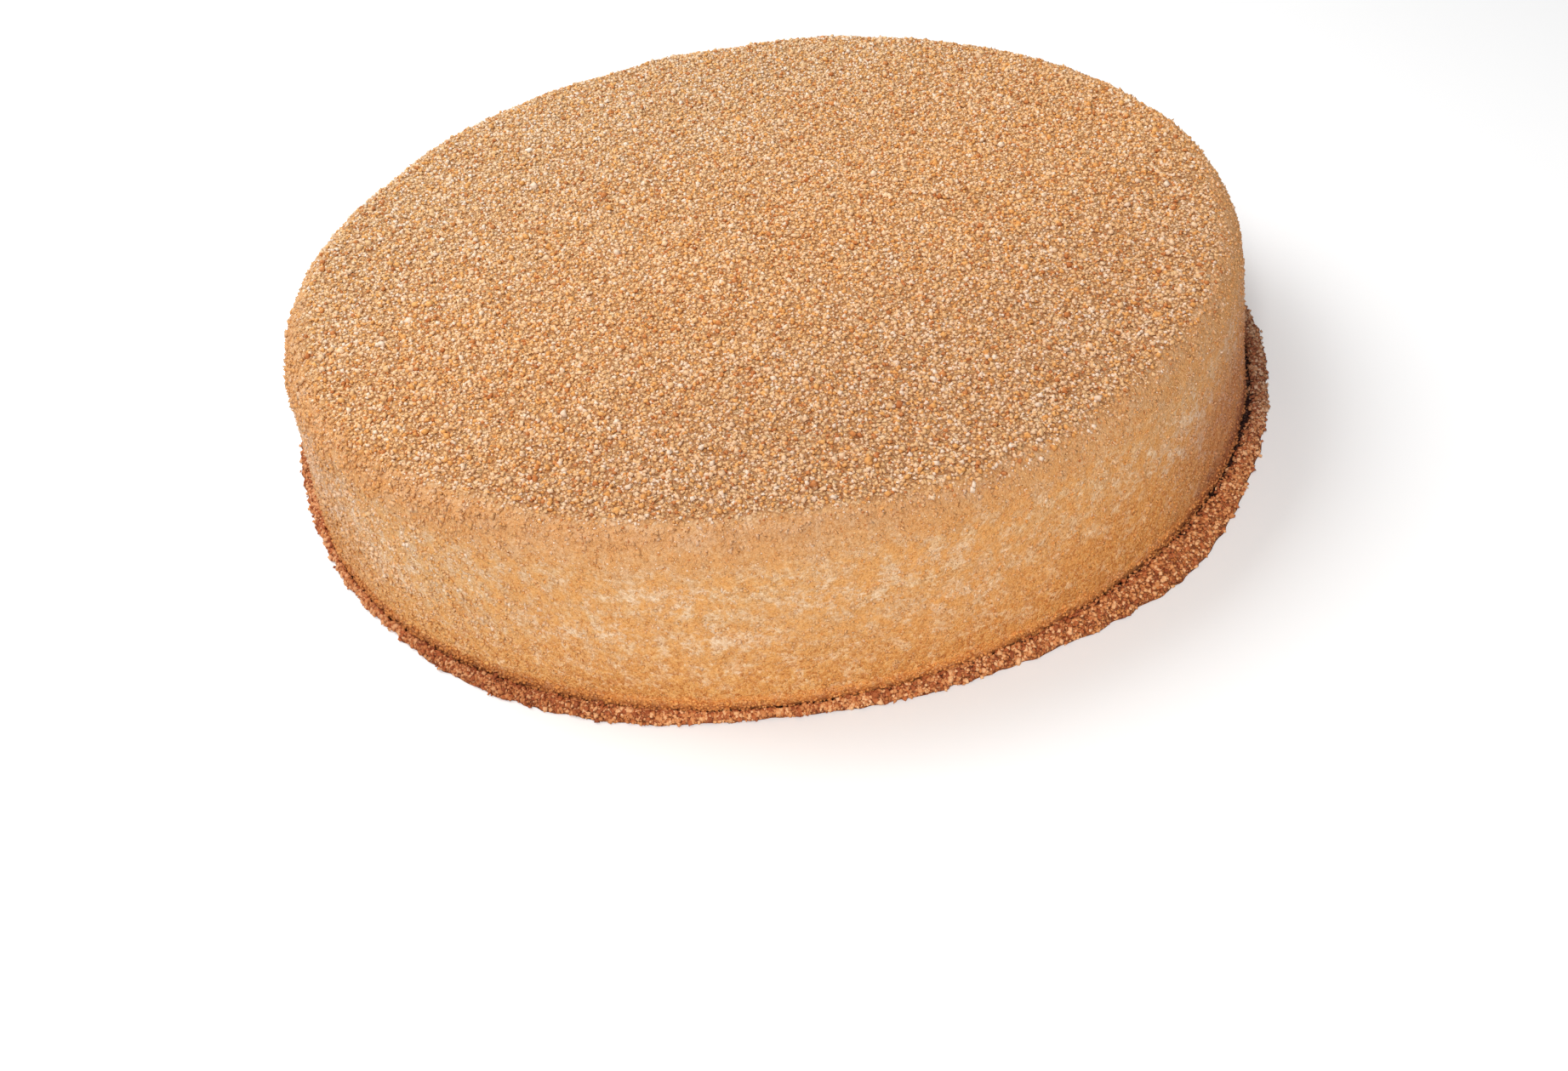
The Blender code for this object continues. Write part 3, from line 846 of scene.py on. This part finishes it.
# Painted shade in the gaps between the heaped crumbs.
colour = mixed(tree, heaped.outputs["Shaded_gap"], colour, HEAP_GAP_SHADE)
nearer = math_node(tree, "MULTIPLY", towards(tree, place, (0.95, -0.3), 0.100, 0.130), 0.0015)
nearer = math_node(tree, "SUBTRACT", from_axis(tree, place), nearer)
ragged = math_node(tree, "MULTIPLY", noise_node(tree, place, 420), 0.004)
nearer = math_node(tree, "ADD", nearer, ragged)
colour = mixed(tree, between(tree, nearer, 0.1367, 0.1355), colour, HEAP_SHADE)
tree.links.new(colour, grain.inputs["Base"])
grain.inputs["Grains to the metre"].default_value = 1300
grain.inputs["Contrast"].default_value = 0.7
bump.inputs["Strength"].default_value = 0.6
bump.inputs["Distance"].default_value = 0.0006
foot_bank.data.materials.append(fallen)
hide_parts("foot_crumbs")
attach(foot_bank, "root")

draw = np.random.default_rng(62)
heap = BVHTree.FromObject(foot_bank, bpy.context.evaluated_depsgraph_get())
FALLEN_CHIPS = 5200
FALLEN_GRIT = 11000
FALLEN = {
    "pale": ((0.72, 0.38, 0.17, 1), (0.82, 0.50, 0.27, 1)),
    "tan": ((0.53, 0.21, 0.075, 1), (0.67, 0.31, 0.125, 1)),
    "brown": ((0.28, 0.075, 0.027, 1), (0.49, 0.155, 0.052, 1)),
}
FALLEN_SHARES = ((0.0, 0.30), (0.30, 0.66), (0.66, 2.0))
for size, count in (("chip", FALLEN_CHIPS), ("grit", FALLEN_GRIT)):
    angle = np.arange(count) * GOLDEN_ANGLE % math.tau
    along = draw.uniform(-0.12, 1.0, count)
    if size == "chip":
        sizes = np.clip(draw.gamma(3.0, 0.00014, count) + 0.0009, 0.0009, 0.0020)
    else:
        sizes = draw.uniform(0.0006, 0.0012, count)
    starts = np.array([bank_point(a, w, 0)[:] for a, w in zip(angle, along)])
    places, normals, hit = seated(starts, np.tile([0.0, 0.0, 1.0], (count, 1)), heap)
    sizes, along, angle = sizes[hit], along[hit], angle[hit]
    # Some are wedged in the gap, so that it is broken into short dark dashes.
    wedged = (along < 0.05) & (np.array([noise_round(a, 45) for a in angle]) > 0.08)
    level = draw.uniform(0.35, 1.0, len(hit)) * np.array([bank_height(a) for a in angle])
    places[wedged, 2] = level[wedged]
    normals[wedged] = (0, 0, 1)
    pick = draw.random(len(hit)) + 0.45 * np.clip(0.40 - along, 0, 1)
    places[:, 2] = np.maximum(places[:, 2], sizes * 0.2)
    spread = (draw.normal(0, 0.00025, len(hit)) - 0.0002) * (along > 0.8)
    places[:, 0] += spread * np.cos(angle)
    places[:, 1] += spread * np.sin(angle)
    for (name, tones), (low_share, high_share) in zip(FALLEN.items(), FALLEN_SHARES):
        of_kind = (pick >= low_share) & (pick < high_share)
        sunk = draw.uniform(0.2, 0.5, of_kind.sum())
        chosen = (places[of_kind], normals[of_kind], sizes[of_kind])
        piece = crumb_piece(f"foot_{name}_{size}", *chosen, draw, size, sunk)
        crumb = bpy.data.materials.get(f"fallen_{name}")
        piece.data.materials.append(crumb or crumb_material(f"fallen_{name}", *tones, contrast=0.4))
        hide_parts("foot_crumbs")
        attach(piece, "root")


# The plain studio: a white floor, a soft light above the front, and a broader, weaker one above the back
# left.
bpy.ops.object.select_all(action="DESELECT")
bpy.ops.mesh.primitive_plane_add(size=6, location=(0, 0, -0.0002))
floor = bpy.context.object
floor.name = "floor"
white = bpy.data.materials.new("white_floor")
white.use_nodes = True
white.node_tree.nodes["Principled BSDF"].inputs["Base Color"].default_value = (0.92, 0.92, 0.92, 1)
white.node_tree.nodes["Principled BSDF"].inputs["Roughness"].default_value = 0.9
floor.data.materials.append(white)


def soft_light(name, place, size, power):
    light = bpy.data.lights.new(name, "AREA")
    light.size = size
    light.energy = power
    obj = bpy.data.objects.new(name, light)
    obj.location = place
    obj.rotation_euler = (-Vector(place)).to_track_quat("-Z", "Y").to_euler()
    bpy.context.scene.collection.objects.link(obj)


soft_light("key_light", (-0.12, -0.88, 0.95), 0.5, 11.2)
soft_light("top_light", (-0.45, 0.40, 0.75), 0.7, 8.0)
world = bpy.data.worlds.new("studio")
bpy.context.scene.world = world
world.use_nodes = True
world.node_tree.nodes["Background"].inputs["Color"].default_value = (1, 1, 1, 1)
world.node_tree.nodes["Background"].inputs["Strength"].default_value = 0.29
bpy.context.scene.view_settings.view_transform = "Standard"

# The camera stands in front of the cake and looks down at 35 degrees, leaning a little to one side.
camera = bpy.data.objects.new("camera", bpy.data.cameras.new("camera"))
camera.data.lens = 35.715
camera.location = (0, -0.37894, 0.26320)
camera.rotation_euler = (0.856838, 0.118033, -0.090526)
camera.data.clip_start = 0.01
bpy.context.scene.collection.objects.link(camera)
bpy.context.scene.camera = camera
